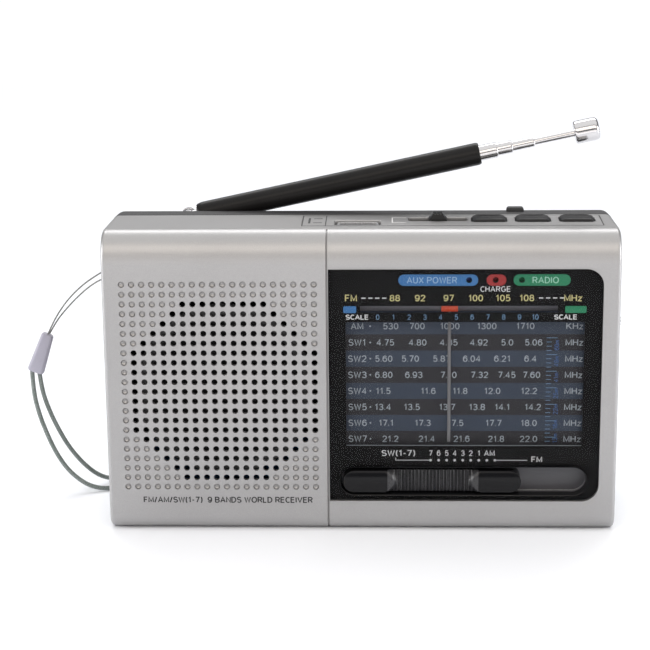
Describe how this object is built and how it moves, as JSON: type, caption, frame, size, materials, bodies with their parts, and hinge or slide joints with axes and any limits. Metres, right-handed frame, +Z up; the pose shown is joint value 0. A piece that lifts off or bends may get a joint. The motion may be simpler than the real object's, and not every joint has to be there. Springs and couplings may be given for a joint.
{
  "type": "shortwave receiver",
  "caption": "Upright portable shortwave receiver with a drilled speaker grille, glossy analogue dial, band slider, thumbwheels, top buttons, telescopic antenna and wrist strap.",
  "frame": {"origin": "centre of the flat base the set stands on", "axes": "+X to the right of the dial face, +Y from the dial face to the back, +Z up"},
  "size_m": [0.1944, 0.0678, 0.1265],
  "materials": {
    "silver_plastic": "satin silver paint on moulded plastic",
    "dark_plastic": "fine textured dark grey",
    "button_plastic": "satin dark grey",
    "black_plastic": "glossy black",
    "lens": "clear polished",
    "mask": "printed black",
    "scale": "printed dark scale",
    "tray_grey": "satin grey",
    "red_plastic": "red pointer",
    "needle": "light grey needle",
    "metal": "polished chrome",
    "steel": "plated steel",
    "sleeve_black": "black lacquered sleeve",
    "board": "green circuit board",
    "component": "moulded components",
    "ferrite": "dark ferrite",
    "copper": "enamelled copper wire",
    "led_b": "clear blue",
    "led_r": "clear red",
    "led_g": "clear green",
    "paper_cone": "pressed paper",
    "magnet": "ferrite magnet",
    "cell": "shrink wrapped",
    "cord_fabric": "braided polyester",
    "thread_fabric": "waxed thread",
    "bead": "lavender grey",
    "white_plastic": "nylon"
  },
  "bodies": {
    "case": {"back_case": "dark_plastic", "band_switch_body": "component", "band_tray": "tray_grey", "battery_cell": "cell", "battery_contacts": "steel", "board_parts": "component", "case_screws": "steel", "control_pcb": "board", "cord_guide_left": "white_plastic", "cord_guide_right": "white_plastic", "dial_chassis": "tray_grey", "dial_cord": "thread_fabric", "dial_lens": "lens", "dial_mask": "mask", "dial_plate": "scale", "earphone_jack": "component", "ferrite_coil": "copper", "ferrite_rod": "ferrite", "front_cover": "silver_plastic", "function_switch": "component", "led_blue": "led_b", "led_green": "led_g", "led_red": "led_r", "main_pcb": "board", "middle_case": "silver_plastic", "rod_holders": "white_plastic", "speaker_cone": "paper_cone", "speaker_dust_cap": "metal", "speaker_frame": "steel", "speaker_magnet": "magnet", "strap_bead": "bead", "strap_cord": "cord_fabric", "strap_thread": "thread_fabric", "tact_switches": "component", "top_panel": "silver_plastic", "tuning_capacitor": "white_plastic", "usb_shell": "metal", "usb_tongue": "white_plastic", "volume_pot": "component"},
    "battery_door": {"battery_door": "dark_plastic"},
    "pointer": {"pointer_carriage": "red_plastic", "pointer_needle": "needle"},
    "tuning": {"tuning_wheel": "button_plastic", "tuning_axle": "white_plastic"},
    "drum": {"dial_drum": "white_plastic"},
    "volume": {"volume_wheel": "button_plastic"},
    "band": {"band_knob": "black_plastic"},
    "function": {"function_knob": "button_plastic"},
    "button_left": {"button_left": "button_plastic"},
    "button_middle": {"button_middle": "button_plastic"},
    "button_right": {"button_right": "button_plastic"},
    "antenna_swivel": {"antenna_foot": "metal", "antenna_pin": "metal"},
    "antenna_arm": {"antenna_base": "metal", "antenna_sleeve": "sleeve_black"},
    "antenna_tube_1": {"antenna_section_1": "metal"},
    "antenna_tube_2": {"antenna_section_2": "metal"},
    "antenna_tube_3": {"antenna_section_3": "metal"},
    "antenna_tip": {"antenna_rod": "metal", "antenna_cap": "metal"}
  },
  "joints": [
    {"name": "door_off", "type": "slide", "parent": "case", "child": "battery_door", "axis": [0, 1, 0], "range_m": [0, 0.03]},
    {"name": "tuning_turn", "type": "hinge", "parent": "case", "child": "tuning", "pos_m": [0.0708, 0, 0.0656], "axis": [0, 1, 0], "range_deg": [-311.69, 324.29]},
    {"name": "pointer_slide", "type": "slide", "parent": "case", "child": "pointer", "axis": [1, 0, 0], "range_m": [-0.0273, 0.0284]},
    {"name": "drum_turn", "type": "hinge", "parent": "case", "child": "drum", "pos_m": [0.033, 0, 0.046], "axis": [0, 1, 0], "range_deg": [-88.5, 92.5]},
    {"name": "volume_turn", "type": "hinge", "parent": "case", "child": "volume", "pos_m": [0.0709, 0, 0.03], "axis": [0, 1, 0], "range_deg": [-135, 135]},
    {"name": "band_slide", "type": "slide", "parent": "case", "child": "band", "axis": [1, 0, 0], "range_m": [0, 0.02032]},
    {"name": "function_slide", "type": "slide", "parent": "case", "child": "function", "axis": [1, 0, 0], "range_m": [-0.005, 0.005]},
    {"name": "press_left", "type": "slide", "parent": "case", "child": "button_left", "axis": [0, 0, -1], "range_m": [0, 0.0008], "stiffness_N_per_m": 250, "springref_m": -0.0002},
    {"name": "press_middle", "type": "slide", "parent": "case", "child": "button_middle", "axis": [0, 0, -1], "range_m": [0, 0.0008], "stiffness_N_per_m": 250, "springref_m": -0.0002},
    {"name": "press_right", "type": "slide", "parent": "case", "child": "button_right", "axis": [0, 0, -1], "range_m": [0, 0.0008], "stiffness_N_per_m": 250, "springref_m": -0.0002},
    {"name": "antenna_swivel_turn", "type": "hinge", "parent": "case", "child": "antenna_swivel", "pos_m": [-0.057, 0.0183, 0.0945], "axis": [0, 0, 1], "range_deg": [0, 180]},
    {"name": "antenna_tilt", "type": "hinge", "parent": "antenna_swivel", "child": "antenna_arm", "pos_m": [-0.057, 0.0183, 0.0945], "axis": [0, -1, 0], "range_deg": [-12.1, 77.9]},
    {"name": "tube_1_slide", "type": "slide", "parent": "antenna_arm", "child": "antenna_tube_1", "axis": [0.9778, 0, 0.2096], "range_m": [-0.0058, 0.07]},
    {"name": "tube_2_slide", "type": "slide", "parent": "antenna_tube_1", "child": "antenna_tube_2", "axis": [0.9778, 0, 0.2096], "range_m": [-0.0049, 0.07]},
    {"name": "tube_3_slide", "type": "slide", "parent": "antenna_tube_2", "child": "antenna_tube_3", "axis": [0.9778, 0, 0.2096], "range_m": [-0.0073, 0.067]},
    {"name": "tip_slide", "type": "slide", "parent": "antenna_tube_3", "child": "antenna_tip", "axis": [0.9778, 0, 0.2096], "range_m": [-0.0129, 0.06]}
  ],
  "couplings": [
    {"joint": "pointer_slide", "follows": "tuning_turn", "m_per_rad": 0.005},
    {"joint": "drum_turn", "follows": "tuning_turn", "ratio": 0.28303}
  ]
}
